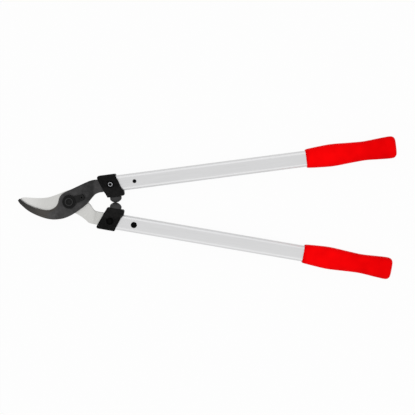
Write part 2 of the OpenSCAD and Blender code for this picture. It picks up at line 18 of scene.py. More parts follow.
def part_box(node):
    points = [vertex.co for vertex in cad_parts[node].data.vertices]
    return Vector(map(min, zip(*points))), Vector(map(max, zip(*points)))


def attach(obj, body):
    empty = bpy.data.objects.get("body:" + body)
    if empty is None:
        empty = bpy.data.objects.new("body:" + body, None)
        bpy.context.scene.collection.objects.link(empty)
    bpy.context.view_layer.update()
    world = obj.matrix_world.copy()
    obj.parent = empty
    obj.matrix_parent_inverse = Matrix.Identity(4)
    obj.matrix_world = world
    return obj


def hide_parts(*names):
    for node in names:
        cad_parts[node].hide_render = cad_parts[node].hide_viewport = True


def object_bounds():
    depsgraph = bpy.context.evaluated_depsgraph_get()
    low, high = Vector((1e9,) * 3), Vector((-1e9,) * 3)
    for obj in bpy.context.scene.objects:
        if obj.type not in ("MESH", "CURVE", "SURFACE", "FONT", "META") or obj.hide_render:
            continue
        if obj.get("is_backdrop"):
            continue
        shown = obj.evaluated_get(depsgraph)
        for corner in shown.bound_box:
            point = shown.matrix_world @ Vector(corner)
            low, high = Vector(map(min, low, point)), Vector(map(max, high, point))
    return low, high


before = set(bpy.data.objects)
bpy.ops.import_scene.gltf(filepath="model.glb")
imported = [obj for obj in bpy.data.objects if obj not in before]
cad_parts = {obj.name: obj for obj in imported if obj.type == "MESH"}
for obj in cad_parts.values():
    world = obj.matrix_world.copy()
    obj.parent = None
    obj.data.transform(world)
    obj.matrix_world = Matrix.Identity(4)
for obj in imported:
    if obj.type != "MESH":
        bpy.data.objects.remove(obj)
solid_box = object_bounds()
scene = bpy.context.scene
scene.view_settings.view_transform = "Standard"
MM = 0.001

# %% [markdown]
# ## The camera
# The photograph looks down on the lopper through a long lens. The pivot's place in the picture, the
# millimetres that one pixel covers and the small turn of the tool in the frame fix the camera's aim: a
# point of the picture becomes a point on the middle plane of the handles, and the picture's own middle is
# where the camera looks. The upper handle measures a little longer there than the lower one, so it was
# nearer the lens, and the camera leans a few degrees towards it.

# %% Camera
PICTURE_PX = 415
PIVOT_PX = Vector((69.97, 201.48))
PIXEL = 1.5965 * MM
PICTURE_TURN = math.radians(1.18)
CAMERA_DISTANCE = 1.35
CAMERA_LEAN = math.radians(4.5)
SENSOR_MM = 36


def middle_of(node):
    low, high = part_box(node)
    return (low + high) / 2


middle_z = middle_of("upper_tube").z
offset = (Vector((PICTURE_PX / 2, PICTURE_PX / 2)) - PIVOT_PX) * PIXEL
aim = Matrix.Rotation(PICTURE_TURN, 2) @ Vector((offset.x, -offset.y))
lens = bpy.data.cameras.new("studio_camera")
lens.sensor_width = SENSOR_MM
lens.lens = SENSOR_MM * CAMERA_DISTANCE / (PICTURE_PX * PIXEL)
camera = bpy.data.objects.new("studio_camera", lens)
camera.rotation_euler = (-CAMERA_LEAN, 0, PICTURE_TURN)
back = camera.rotation_euler.to_matrix() @ Vector((0, 0, CAMERA_DISTANCE))
camera.location = Vector((aim.x, aim.y, middle_z)) + back
scene.collection.objects.link(camera)
scene.camera = camera
print(f"camera above {aim.x:.3f}, {aim.y:.3f} with a {lens.lens:.0f} mm lens")

# %% [markdown]
# ## A few node helpers
# Every finish below is a small tree of shader nodes. Such a tree could be drawn by hand in the Shader
# Editor, but a script repeats it exactly, and short helpers keep the script readable. The patterns come
# first: a grain in the piece's own coordinates, streaks that run in arcs round a point, and a level that
# changes along the tool. The others spread a pattern between two values or two tones, or turn it into
# fine relief. Sizes are real ones, so a brushed line is as fine as on the tool.

# %% Node and grain helpers
def add_node(tree, kind, values=(), **settings):
    """Adds a node, with its settings and the values of its sockets."""
    node = tree.nodes.new(kind)
    for name, value in settings.items():
        setattr(node, name, value)
    for name, value in dict(values).items():
        node.inputs[name].default_value = value
    return node


def wire(tree, *pairs):
    for source, target in pairs:
        tree.links.new(source, target)


def grain(tree, width, length=None, turn=0.0, detail=2.0):
    """Noise with grains of this width, drawn out to a length along the turned X axis if one is given."""
    place = add_node(tree, "ShaderNodeTexCoord")
    mapping = add_node(tree, "ShaderNodeMapping", vector_type="TEXTURE")
    mapping.inputs["Rotation"].default_value = (0, 0, turn)
    mapping.inputs["Scale"].default_value = (length or width, width, width)
    noise = add_node(tree, "ShaderNodeTexNoise", {"Scale": 1, "Detail": detail})
    wire(
        tree,
        (place.outputs["Object"], mapping.inputs["Vector"]),
        (mapping.outputs["Vector"], noise.inputs["Vector"]),
    )
    return noise.outputs["Fac"]


print("node and grain helpers ready")

# %% Streak and level helpers
def arc_streaks(tree, middle, angle, width):
    """Noise in radius and angle round a point: streaks that cover this angle and are this wide."""
    place = add_node(tree, "ShaderNodeTexCoord")
    from_middle = add_node(tree, "ShaderNodeVectorMath", {1: middle}, operation="SUBTRACT")
    split = add_node(tree, "ShaderNodeSeparateXYZ")
    flat = add_node(tree, "ShaderNodeVectorMath", {1: (1, 1, 0)}, operation="MULTIPLY")
    radius = add_node(tree, "ShaderNodeVectorMath", operation="LENGTH")
    turn = add_node(tree, "ShaderNodeMath", operation="ARCTAN2")
    unrolled = add_node(tree, "ShaderNodeCombineXYZ")
    mapping = add_node(tree, "ShaderNodeMapping", vector_type="TEXTURE")
    mapping.inputs["Scale"].default_value = (width, angle, width)
    noise = add_node(tree, "ShaderNodeTexNoise", {"Scale": 1, "Detail": 3})
    wire(
        tree,
        (place.outputs["Object"], from_middle.inputs[0]),
        (from_middle.outputs["Vector"], split.inputs["Vector"]),
        (from_middle.outputs["Vector"], flat.inputs[0]),
        (flat.outputs["Vector"], radius.inputs[0]),
        (split.outputs["Y"], turn.inputs[0]),
        (split.outputs["X"], turn.inputs[1]),
        (radius.outputs["Value"], unrolled.inputs["X"]),
        (turn.outputs["Value"], unrolled.inputs["Y"]),
        (unrolled.outputs["Vector"], mapping.inputs["Vector"]),
        (mapping.outputs["Vector"], noise.inputs["Vector"]),
    )
    return noise.outputs["Fac"]


def level_along(tree, axis, stops):
    """A level that eases from stop to stop. A stop is a place on the axis, in millimetres, and a level."""
    first, last = stops[0][0], stops[-1][0]
    place = add_node(tree, "ShaderNodeTexCoord")
    split = add_node(tree, "ShaderNodeSeparateXYZ")
    ranged = add_node(tree, "ShaderNodeMapRange", {1: first * MM, 2: last * MM})
    ramp = add_node(tree, "ShaderNodeValToRGB")
    ramp.color_ramp.interpolation = "EASE"
    elements = ramp.color_ramp.elements
    while len(elements) < len(stops):
        elements.new(0.5)
    for element, (where, level) in zip(elements, stops):
        element.position = (where - first) / (last - first)
        element.color = (level, level, level, 1)
    wire(
        tree,
        (place.outputs["Object"], split.inputs["Vector"]),
        (split.outputs[axis], ranged.inputs["Value"]),
        (ranged.outputs["Result"], ramp.inputs["Fac"]),
    )
    return ramp.outputs["Color"]


def averaged(tree, first, second):
    node = add_node(tree, "ShaderNodeMix", {0: 0.5})
    wire(tree, (first, node.inputs[2]), (second, node.inputs[3]))
    return node.outputs[0]


print("streak and level helpers ready")

# %% Finish helpers
GRAIN_LOW, GRAIN_HIGH = 0.3, 0.7


def start_finish(name, values):
    material = bpy.data.materials.new(name)
    material.use_nodes = True
    shader = material.node_tree.nodes["Principled BSDF"]
    for label, value in values.items():
        shader.inputs[label].default_value = value
    return material, material.node_tree, shader


def spread(tree, source, span, target):
    """Spreads a pattern, which lies mostly between the grain's low and high, over a span of values."""
    low, high = span
    ranged = add_node(tree, "ShaderNodeMapRange", {1: GRAIN_LOW, 2: GRAIN_HIGH, 3: low, 4: high})
    wire(tree, (source, ranged.inputs["Value"]), (ranged.outputs["Result"], target))


def tones(tree, source, dark_and_light, target):
    """Spreads a pattern between a dark and a light tone."""
    ramp = add_node(tree, "ShaderNodeValToRGB")
    for stop, place, tone in zip(ramp.color_ramp.elements, (GRAIN_LOW, GRAIN_HIGH), dark_and_light):
        stop.position = place
        stop.color = (*tone, 1)
    wire(tree, (source, ramp.inputs["Fac"]), (ramp.outputs["Color"], target))
    return ramp.outputs["Color"]


def blended(tree, share, first, second, target):
    mix = add_node(tree, "ShaderNodeMix", data_type="RGBA")
    wire(tree, (share, mix.inputs[0]), (first, mix.inputs[6]), (second, mix.inputs[7]))
    wire(tree, (mix.outputs[2], target))


def roughen(tree, source, depth, shader):
    bump = add_node(tree, "ShaderNodeBump", {"Strength": 1, "Distance": depth})
    wire(tree, (source, bump.inputs["Height"]), (bump.outputs["Normal"], shader.inputs["Normal"]))


def grain_finish(name, values, pattern, dark_and_light, roughness, depth, cloud=None, levels=None, axis="X"):
    """A finish whose roughness and relief follow a fine pattern. Its tone follows that pattern or a wider
    cloud, and where levels are given it follows them too."""
    material, tree, shader = start_finish(name, values)
    fine = grain(tree, **pattern)
    shade = grain(tree, **cloud) if cloud else fine
    if levels:
        shade = averaged(tree, shade, level_along(tree, axis, levels))
    tones(tree, shade, dark_and_light, shader.inputs["Base Color"])
    spread(tree, fine, roughness, shader.inputs["Roughness"])
    roughen(tree, fine, depth, shader)
    return material


print("finish helpers ready")

# %% [markdown]
# ## The studio
# The picture has a white ground and a flat, soft light. A single bright lamp would give hard shadows and
# burn out the steel, so most of the light comes from the sky. The floor is a plain pale plane that takes
# the tool's shadow. Seen directly, or mirrored in metal, it is lifted most of the way to white, and the
# world behind it is white too. The light on the tool stays at a plain level: a soft sky that is strongest
# overhead, so round sides fall off a little, and wide weak lamps on both sides, whose reflections draw
# the pale lines along the round shoulders of the tubes.

# %% Floor
FLOOR_HALF = 6.0
FLOOR_TONE = (0.6, 0.6, 0.6, 1)
FLOOR_ROUGHNESS = 0.9
FLOOR_LIFT = 0.96
BACKDROP_LIGHT = 1.0


def seen_directly(tree):
    """One for camera, mirror and glass rays, nothing for the rays that light the tool."""
    path = add_node(tree, "ShaderNodeLightPath")
    total = path.outputs["Is Camera Ray"]
    for kind in ("Is Glossy Ray", "Is Transmission Ray"):
        either = add_node(tree, "ShaderNodeMath", operation="MAXIMUM")
        wire(tree, (total, either.inputs[0]), (path.outputs[kind], either.inputs[1]))
        total = either.outputs["Value"]
    return total


def floor_finish():
    material, tree, shader = start_finish(
        "pale_floor", {"Base Color": FLOOR_TONE, "Roughness": FLOOR_ROUGHNESS, "Specular IOR Level": 0}
    )
    white = add_node(tree, "ShaderNodeEmission", {"Strength": BACKDROP_LIGHT})
    lift = add_node(tree, "ShaderNodeMath", {1: FLOOR_LIFT}, operation="MULTIPLY")
    blend = add_node(tree, "ShaderNodeMixShader")
    wire(
        tree,
        (seen_directly(tree), lift.inputs[0]),
        (lift.outputs["Value"], blend.inputs["Fac"]),
        (shader.outputs["BSDF"], blend.inputs[1]),
        (white.outputs["Emission"], blend.inputs[2]),
        (blend.outputs["Shader"], tree.nodes["Material Output"].inputs["Surface"]),
    )
    return material


floor_mesh = bpy.data.meshes.new("floor")
corners = [(x * FLOOR_HALF, y * FLOOR_HALF, 0) for x, y in ((-1, -1), (1, -1), (1, 1), (-1, 1))]
floor_mesh.from_pydata(corners, [], [(0, 1, 2, 3)])
floor_mesh.materials.append(floor_finish())
floor = bpy.data.objects.new("floor", floor_mesh)
scene.collection.objects.link(floor)
floor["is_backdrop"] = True
print("floor is", 2 * FLOOR_HALF, "m wide")

# %% World and lamps
HORIZON_LIGHT = 0.2
ZENITH_LIGHT = 1.33
LAMP_AIM = Vector((0.24, 0, 0))
LAMP_WIDTH = 1.6
LAMPS = {
    "left_lamp": {"place": (0.1, 1.4, 1.3), "power": 2.4},
    "right_lamp": {"place": (0.35, -1.4, 1.3), "power": 2.2},
}

world = bpy.data.worlds.new("studio")
world.use_nodes = True
scene.world = world
sky_tree = world.node_tree
sky = sky_tree.nodes["Background"]
sky.inputs["Color"].default_value = (1, 1, 1, 1)
place = add_node(sky_tree, "ShaderNodeTexCoord")
direction = add_node(sky_tree, "ShaderNodeSeparateXYZ")
height = add_node(sky_tree, "ShaderNodeMapRange", {3: HORIZON_LIGHT, 4: ZENITH_LIGHT})
level = add_node(sky_tree, "ShaderNodeMapRange", {4: BACKDROP_LIGHT})
wire(
    sky_tree,
    (place.outputs["Generated"], direction.inputs["Vector"]),
    (direction.outputs["Z"], height.inputs["Value"]),
    (height.outputs["Result"], level.inputs[3]),
    (seen_directly(sky_tree), level.inputs["Value"]),
    (level.outputs["Result"], sky.inputs["Strength"]),
)
for name, lamp_values in LAMPS.items():
    light = bpy.data.lights.new(name, "AREA")
    light.size = LAMP_WIDTH
    light.energy = lamp_values["power"]
    lamp = bpy.data.objects.new(name, light)
    lamp.location = lamp_values["place"]
    lamp.rotation_euler = (LAMP_AIM - lamp.location).to_track_quat("-Z", "Y").to_euler()
    scene.collection.objects.link(lamp)
print("world ready, lamps:", len(LAMPS))

# %% [markdown]
# ## Finding the handles
# Each handle has its own straight frame, which is the natural place to build a tube, a collar or a grip:
# x runs along the tube, y points away from the other handle, z out of its face. The two through-screws
# sit on the tube's axis, so a line through their middles gives that frame without a single typed-in
# angle. The lower handle is the same set of pieces turned over, which this frame takes care of too, so a
# size that is measured on the upper handle serves both.

# %% Handle frames
SIDES = {"upper": "hook_half", "lower": "blade_half"}


def handle_frame(side):
    bolt, screw = (middle_of(f"{side}_{name}").xy.to_3d() for name in ("collar_bolt", "tube_screw"))
    along = (screw - bolt).normalized()
    foot = bolt - along * bolt.dot(along)
    outward = foot.normalized()
    turned = Matrix((along, outward, along.cross(outward))).transposed().to_4x4()
    return Matrix.Translation((foot.x, foot.y, middle_z)) @ turned


def handle_lean(side):
    axis = handle_frame(side).col[0]
    return math.atan2(axis.y, axis.x)


def handle_points(name):
    to_handle = handle_frame("upper").inverted()
    return np.array([to_handle @ v.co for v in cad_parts[f"upper_{name}"].data.vertices])


def handle_box(name):
    points = handle_points(name)
    return Vector(points.min(0)), Vector(points.max(0))


for side in SIDES:
    print(side, "handle leans", round(math.degrees(handle_lean(side)), 3), "degrees")

# %% [markdown]
# ## Softened copies
# A solid from construction has knife-sharp edges, and its mesh is loose flat triangles. A real plate
# catches light on every edge. A Subdivision Surface would round the plate away, so instead a copy is
# welded, its flat areas are joined to single faces, and a narrow bevel with hardened normals rounds the
# edges: the faces stay flat, and only the edges shine. A last weld closes the hair-thin slivers that a
# bevel can leave in corners.

# %% Copy helpers
WELD = 0.002 * MM
SLIVER = 0.001 * MM
FLAT_WITHIN = math.radians(0.6)
EDGE_SEGMENTS = 2
LEFTOVERS = ("custom_normal", "sharp_face", "sharp_edge")


def add_piece(name, mesh):
    piece = bpy.data.objects.new(name, mesh)
    scene.collection.objects.link(piece)
    return piece


def welded_copy(node, name):
    work = bmesh.new()
    work.from_mesh(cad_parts[node].data)
    bmesh.ops.remove_doubles(work, verts=work.verts, dist=WELD)
    bmesh.ops.dissolve_limit(work, angle_limit=FLAT_WITHIN, verts=work.verts, edges=work.edges)
    for face in work.faces:
        face.smooth = True
    mesh = bpy.data.meshes.new(name)
    work.to_mesh(mesh)
    work.free()
    for leftover in LEFTOVERS:
        if leftover in mesh.attributes:
            mesh.attributes.remove(mesh.attributes[leftover])
    return add_piece(name, mesh)


def soften(piece, width, corner):
    """Rounds every edge that turns by more than the corner's angle."""
    bevel = piece.modifiers.new("soft_edges", "BEVEL")
    bevel.width = width
    bevel.segments = EDGE_SEGMENTS
    bevel.limit_method = "ANGLE"
    bevel.angle_limit = corner
    bevel.use_clamp_overlap = True
    bevel.harden_normals = True
    closed = piece.modifiers.new("closed_slivers", "WELD")
    closed.merge_threshold = SLIVER
    return piece


def made_plain(piece):
    """Turns what the modifiers give into a plain mesh."""
    graph = bpy.context.evaluated_depsgraph_get()
    mesh = bpy.data.meshes.new_from_object(piece.evaluated_get(graph), depsgraph=graph)
    piece.modifiers.clear()
    piece.data = mesh
    mesh.name = piece.name
    return piece


def dress(piece, body, node, material=None):
    """Puts a piece in the place of its solid. A piece with finishes of its own is given no material."""
    if material is not None:
        piece.data.materials.clear()
        piece.data.materials.append(material)
    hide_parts(node)
    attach(piece, body)
    print(piece.name, "rides on", body, "with", len(piece.data.polygons), "faces")


print("copy helpers ready")

# %% [markdown]
# ## Jaw finishes
# The hook carries a dark, slippery coating: nearly black, satin, with a faint mottle. On the crank, where
# the plate is bent, it is painted a shade darker: painted shade, where the bent face tilts away from the
# light. Along the slim arm the plate was ground before it was coated, and the marks still show as warm
# streaks that follow its curve, so the streaks run in arcs round the arm's own middle. The bevel inside the
# arm goes dark towards the tip. The blade is satin-ground bright steel, brightest at its tip and duller at
# its tang. A painted image could hold all this, but a rule stays sharp from any distance: each table of
# levels gives millimetres along the tool and how light the finish is there.

# %% Coated hook finishes
# Levels of the coating along X; the dark dip from 27 to 41 mm is painted shade on the crank's tilted face.
COATING_AND_CRANK_SHADE_LEVELS = (
    (-42, 0.8), (-28, 0.82), (-14, 0.5), (4, 0.45), (16, 0.42), (27, 0.22), (36, 0.1), (41, 0.56), (50, 0.6)
)
ARM_SHARES = ((-58, 1.0), (-40, 1.0), (-28, 0.0), (50, 0.0))
ARM_LEVELS = ((-80, 0.2), (-58, 0.45), (-42, 0.68), (-28, 0.68))
BEVEL_LEVELS = ((-80, 0.05), (-62, 0.3), (-46, 0.66), (-20, 0.66))
COATING_GLOSS = 0.3
COATING_MOTTLE = 5 * MM
COATING_PORE = 0.25 * MM
COATING_DEPTH = 0.006 * MM
COATING_ROUGHNESS = (0.34, 0.48)
COATING_TONES = ((0.006, 0.006, 0.0062), (0.055, 0.053, 0.054))
ARM_MIDDLE = Vector((-18 * MM, 64 * MM, 0))
STREAK_LENGTH = 45 * MM
STREAK_ANGLE = STREAK_LENGTH / ARM_MIDDLE.length
STREAK_WIDTH = 1.3 * MM
STREAK_TONES = ((0.010, 0.0095, 0.0085), (0.064, 0.056, 0.050))


def coated_steel(name):
    material, tree, shader = start_finish(name, {"Specular IOR Level": COATING_GLOSS})
    mottle = grain(tree, COATING_MOTTLE, detail=5)
    spread(tree, mottle, COATING_ROUGHNESS, shader.inputs["Roughness"])
    roughen(tree, grain(tree, COATING_PORE), COATING_DEPTH, shader)
    return material, tree, shader.inputs["Base Color"], mottle


def ground_marks(tree, levels, target):
    streaks = arc_streaks(tree, ARM_MIDDLE, STREAK_ANGLE, STREAK_WIDTH)
    return tones(tree, averaged(tree, streaks, level_along(tree, "X", levels)), STREAK_TONES, target)


def dark_coating():
    material, tree, base, mottle = coated_steel("dark_coating")
    shade = averaged(tree, mottle, level_along(tree, "X", COATING_AND_CRANK_SHADE_LEVELS))
    plain = tones(tree, shade, COATING_TONES, base)
    ground = ground_marks(tree, ARM_LEVELS, base)
    blended(tree, level_along(tree, "X", ARM_SHARES), plain, ground, base)
    return material


def bevelled_coating():
    material, tree, base, _ = coated_steel("bevelled_coating")
    ground_marks(tree, BEVEL_LEVELS, base)
    return material


STEEL = {"coating": dark_coating(), "bevel": bevelled_coating()}
print("hook finishes:", ", ".join(STEEL))

# %% Ground blade finish
STEEL["satin"] = grain_finish(
    "satin_steel",
    {"Metallic": 1},
    pattern={"width": 0.22 * MM, "length": 14 * MM, "turn": math.radians(68), "detail": 4},
    dark_and_light=((0.55, 0.548, 0.53), (0.72, 0.715, 0.70)),
    levels=((-70, 0.8), (-38, 0.35), (32, 0.35), (44, 0.1)),
    roughness=(0.28, 0.4),
    depth=0.004 * MM,
)
print("jaw finishes:", ", ".join(STEEL))

# %% [markdown]
# ## Hardware finishes
# Small hardware is zinc or black oxide, and black oxide comes in several depths: a lock plate that is wiped
# with oil is paler than the through screws and hex nuts, whose near black is partly painted shade, as the
# nuts sit down in the collar's recess. The top of the nut's hub is painted pale: a painted highlight ring.
# Sockets and screw ends are painted near black: painted shade inside their recesses. One black for all would
# run together in the picture, so each gets its own. Their sheen comes from roughness and their life from a
# fine grain.

# %% Hardware finishes
RECESS_SHADE_GRAIN = 1 * MM
RECESS_SHADE_TONES = ((0.001, 0.001, 0.001), (0.003, 0.003, 0.0028))


def black_oxide(name, gloss, dark, light):
    return grain_finish(
        name,
        {"Specular IOR Level": gloss},
        pattern={"width": 1.5 * MM, "detail": 4},
        dark_and_light=((dark, dark, dark), (light, light, light)),
        roughness=(0.3, 0.42),
        depth=0.01 * MM,
    )


# Painted highlight: a paler steel for the top of the nut's hub, where a ring of light shows.
def worn_steel():
    return grain_finish(
        "worn_steel",
        {"Specular IOR Level": 0.3},
        pattern={"width": 0.6 * MM, "detail": 3},
        dark_and_light=((0.01, 0.01, 0.0105), (0.026, 0.026, 0.026)),
        roughness=(0.3, 0.42),
        depth=0.006 * MM,
    )


def bright_zinc():
    return grain_finish(
        "bright_zinc",
        {"Metallic": 1},
        pattern={"width": 0.8 * MM, "detail": 3},
        dark_and_light=((0.42, 0.43, 0.45), (0.58, 0.59, 0.61)),
        roughness=(0.2, 0.32),
        depth=0.006 * MM,
    )


# Painted shade: a near-black finish for sockets and screw ends, standing in for the shade inside their
# recesses.
def painted_recess_shade():
    material, tree, shader = start_finish("painted_recess_shade", {"Roughness": 0.7, "Specular IOR Level": 0.05})
    tones(tree, grain(tree, RECESS_SHADE_GRAIN, detail=3), RECESS_SHADE_TONES, shader.inputs["Base Color"])
    return material


STEEL.update(
    black=black_oxide("black_oxide_steel", gloss=0.11, dark=0.002, light=0.007),
    plate=black_oxide("oiled_steel", gloss=0.13, dark=0.006, light=0.012),
    # The near black here is partly real black oxide and partly painted shade, for the hex nuts sit down in
    # the collar's recess.
    deep=black_oxide("deep_black_steel", gloss=0.03, dark=0.0005, light=0.0015),
    worn=worn_steel(),
    zinc=bright_zinc(),
    recess=painted_recess_shade(),
)
print("steel finishes:", ", ".join(STEEL))

# %% [markdown]
# ## Hook and blade
# Both jaws are plates cut to a curved outline, with a bevel that fades out towards the neck and a crank
# that brings the tang to the middle of its tube. They could be drawn again from curves, but their solids
# already have all of that, so softened copies serve. The hook's sloping inner faces take the bevel's
# finish as a second material, picked by the way they face.

# %% Jaws
JAW_EDGE = 0.25 * MM
JAW_CORNER = math.radians(20)
BEVEL_FACING = (0.55, 0.97)
BEVEL_LEAST_AREA = 0.6 * MM * MM

hook = soften(welded_copy("hook_blade", "hook"), JAW_EDGE, JAW_CORNER)
dress(hook, "hook_half", "hook_blade", STEEL["coating"])
hook.data.materials.append(STEEL["bevel"])
sloping = 0
for face in hook.data.polygons:
    wide = face.area > BEVEL_LEAST_AREA
    if BEVEL_FACING[0] < face.normal.z < BEVEL_FACING[1] and face.center.x < 0 and wide:
        face.material_index = 1
        sloping += 1
blade = soften(welded_copy("cutting_blade", "blade"), JAW_EDGE, JAW_CORNER)
dress(blade, "blade_half", "cutting_blade", STEEL["satin"])
print("bevel faces on the hook:", sloping)

# %% [markdown]
# ## Pivot hardware
# The bolt, its washer and the lock plate are small stamped or turned pieces. They could be grown by a
# rule, as the screws below are, but each comes once and its shape is plain, so softened copies with a
# fine edge serve. The dimple in the bolt's end, which a tool centres on, is rubbed pale.

# %% Bolt, washer and lock plate
SMALL_EDGE = 0.15 * MM
SMALL_CORNER = math.radians(30)
NEAR_AXIS = 1.3 * MM
FACING_UP = 0.9

for node, slot, material in (
    ("pivot_bolt", "black_steel", STEEL["black"]),
    ("pivot_washer", "zinc_steel", STEEL["zinc"]),
    ("lock_segment", "black_steel", STEEL["plate"]),
):
    piece = soften(welded_copy(node, node + "_piece"), SMALL_EDGE, SMALL_CORNER)
    dress(piece, "hook_half", node, material)

pivot_mesh = bpy.data.objects["pivot_bolt_piece"].data
pivot_mesh.materials.append(STEEL["plate"])
for face in pivot_mesh.polygons:
    if face.normal.z > FACING_UP and face.center.xy.length < NEAR_AXIS:
        face.material_index = 1
print("pale faces in the bolt's end:", sum(face.material_index for face in pivot_mesh.polygons))

# %% [markdown]
# ## Geometry Nodes for turned, cut and drawn pieces
# Screws, the toothed nut and the tubes follow rules: a revolved head with a six-sided socket, a ring of
# equal teeth, one section drawn out along a line. Mesh code could place every vertex, but a node tree
# says the rule itself, with its sizes as named inputs, and one tree serves screws of any size. The tree's
# result is turned into a plain mesh at once, because instances and live trees don't leave the file.

# %% Node tree helpers
ROUND = 48
SHARP_OVER = math.radians(32)
FINISH_INPUTS = ("Finish", "Inner finish")


def rule_tree(name, sizes):
    """Starts a tree with a number input for each size and two finishes, and gives back those inputs."""
    tree = bpy.data.node_groups.new(name, "GeometryNodeTree")
    tree.interface.new_socket("Geometry", in_out="OUTPUT", socket_type="NodeSocketGeometry")
    for size in sizes:
        tree.interface.new_socket(size, in_out="INPUT", socket_type="NodeSocketFloat")
    for finish in FINISH_INPUTS:
        tree.interface.new_socket(finish, in_out="INPUT", socket_type="NodeSocketMaterial")
    return tree, add_node(tree, "NodeGroupInput").outputs


def feed(tree, target, value):
    if isinstance(value, bpy.types.NodeSocket):
        tree.links.new(value, target)
    else:
        target.default_value = value


def reckon(tree, a, operation, b):
    node = add_node(tree, "ShaderNodeMath", operation=operation)
    feed(tree, node.inputs[0], a)
    feed(tree, node.inputs[1], b)
    return node.outputs["Value"]


def place_at(tree, shape, x=0.0, z=0.0):
    where = add_node(tree, "ShaderNodeCombineXYZ")
    feed(tree, where.inputs["X"], x)
    feed(tree, where.inputs["Z"], z)
    move = add_node(tree, "GeometryNodeTransform")
    wire(tree, (shape, move.inputs["Geometry"]), (where.outputs["Vector"], move.inputs["Translation"]))
    return move.outputs["Geometry"]


def coated(tree, shape, finish, faces=None):
    coat = add_node(tree, "GeometryNodeSetMaterial")
    wire(tree, (shape, coat.inputs["Geometry"]), (finish, coat.inputs["Material"]))
    if faces is not None:
        wire(tree, (faces, coat.inputs["Selection"]))
    return coat.outputs["Geometry"]


def turned_stage(tree, finish, low_radius, top_radius, height, z=0.0, x=0.0, sides=ROUND, top=None):
    """A cylinder or cone that stands at x and z. Its top can have a finish of its own."""
    stage = add_node(tree, "GeometryNodeMeshCone")
    feed(tree, stage.inputs["Vertices"], sides)
    feed(tree, stage.inputs["Radius Bottom"], low_radius)
    feed(tree, stage.inputs["Radius Top"], top_radius)
    feed(tree, stage.inputs["Depth"], height)
    shape = coated(tree, stage.outputs["Mesh"], finish)
    if top is not None:
        shape = coated(tree, shape, top, stage.outputs["Top"])
    return place_at(tree, shape, x, z)


def combined(tree, operation, first, *others):
    node = add_node(tree, "GeometryNodeMeshBoolean", operation=operation, solver="EXACT")
    if operation == "UNION":
        others = (first, *others)
    else:
        wire(tree, (first, node.inputs["Mesh 1"]))
    for other in others:
        wire(tree, (other, node.inputs["Mesh 2"]))
    return node.outputs["Mesh"]


print("node tree helpers ready")

# %% Ending and growing a tree
def end_tree(tree, shape, inputs):
    """Smooth faces, crisp edges, and the outer finish on all that doesn't have the inner one."""
    angle = add_node(tree, "GeometryNodeInputMeshEdgeAngle")
    sharp = add_node(tree, "FunctionNodeCompare", {"B": SHARP_OVER}, operation="GREATER_THAN")
    smooth = add_node(tree, "GeometryNodeSetShadeSmooth", domain="FACE")
    crisp = add_node(tree, "GeometryNodeSetShadeSmooth", {"Shade Smooth": False}, domain="EDGE")
    real = add_node(tree, "GeometryNodeRealizeInstances")
    inner = add_node(tree, "GeometryNodeMaterialSelection")
    outer = add_node(tree, "FunctionNodeBooleanMath", operation="NOT")
    finish = add_node(tree, "GeometryNodeSetMaterial")
    out = add_node(tree, "NodeGroupOutput")
    wire(
        tree,
        (angle.outputs["Unsigned Angle"], sharp.inputs["A"]),
        (shape, smooth.inputs["Geometry"]),
        (smooth.outputs["Geometry"], crisp.inputs["Geometry"]),
        (sharp.outputs["Result"], crisp.inputs["Selection"]),
        (crisp.outputs["Geometry"], real.inputs["Geometry"]),
        (real.outputs["Geometry"], finish.inputs["Geometry"]),
        (inputs["Inner finish"], inner.inputs["Material"]),
        (inner.outputs["Selection"], outer.inputs[0]),
        (outer.outputs["Boolean"], finish.inputs["Selection"]),
        (inputs["Finish"], finish.inputs["Material"]),
        (finish.outputs["Geometry"], out.inputs["Geometry"]),
    )


def grow(tree, name, finishes, place, **sizes):
    """Makes a plain piece from a tree, with its sizes given by name, and puts it in its place."""
    piece = add_piece(name, bpy.data.meshes.new(name))
    rule = piece.modifiers.new(tree.name, "NODES")
    rule.node_group = tree
    given = dict(zip(FINISH_INPUTS, finishes))
    given.update({key.replace("_", " ").capitalize(): sizes[key] for key in sizes})
    for item in tree.interface.items_tree:
        if item.in_out == "INPUT":
            rule[item.identifier] = given[item.name]
    made_plain(piece)
    piece.data.transform(place)
    return piece


print("ready to grow pieces")

# %% [markdown]
# ## Screws
# All five screws share one rule: a chamfered round head with a six-sided socket, on a plain shank. The
# socket could be painted on as a dark spot, but it is cut with a Mesh Boolean inside the tree, so it is a
# real hole from every side. The cutter carries a near-black finish of its own, painted shade for the inside
# of the socket, and the faces that it leaves behind keep it; the shank wears the same painted shade. A tube
# screw seen from its far end is only its shank, flush in the tube, and painted as dark as the shade in the
# recess that it sits in.

# %% Screw rule
SCREW_SIZES = (
    "Head radius", "Head height", "Chamfer", "Socket radius", "Socket depth", "Shank radius", "Shank length"
)
SOCKET_SIDES = 6


def screw_rule():
    tree, size = rule_tree("socket_screw", SCREW_SIZES)
    outside, inside = size["Finish"], size["Inner finish"]
    head, socket, shank = (size[f"{part} radius"] for part in ("Head", "Socket", "Shank"))
    chamfer = size["Chamfer"]
    rim = reckon(tree, head, "SUBTRACT", chamfer)
    wall_height = reckon(tree, size["Head height"], "SUBTRACT", chamfer)
    shank_start = reckon(tree, 0.0, "SUBTRACT", size["Shank length"])
    shank_height = reckon(tree, size["Shank length"], "ADD", wall_height)
    socket_floor = reckon(tree, size["Head height"], "SUBTRACT", size["Socket depth"])
    cutter_height = reckon(tree, size["Socket depth"], "ADD", chamfer)
    solid = combined(
        tree,
        "UNION",
        turned_stage(tree, outside, head, head, wall_height),
        turned_stage(tree, outside, head, rim, chamfer, wall_height),
        turned_stage(tree, inside, shank, shank, shank_height, shank_start),
    )
    cutter = turned_stage(tree, inside, socket, socket, cutter_height, socket_floor, sides=SOCKET_SIDES)
    end_tree(tree, combined(tree, "DIFFERENCE", solid, cutter), size)
    return tree


screw_tree = screw_rule()
print("screw rule has", len(screw_tree.nodes), "nodes")

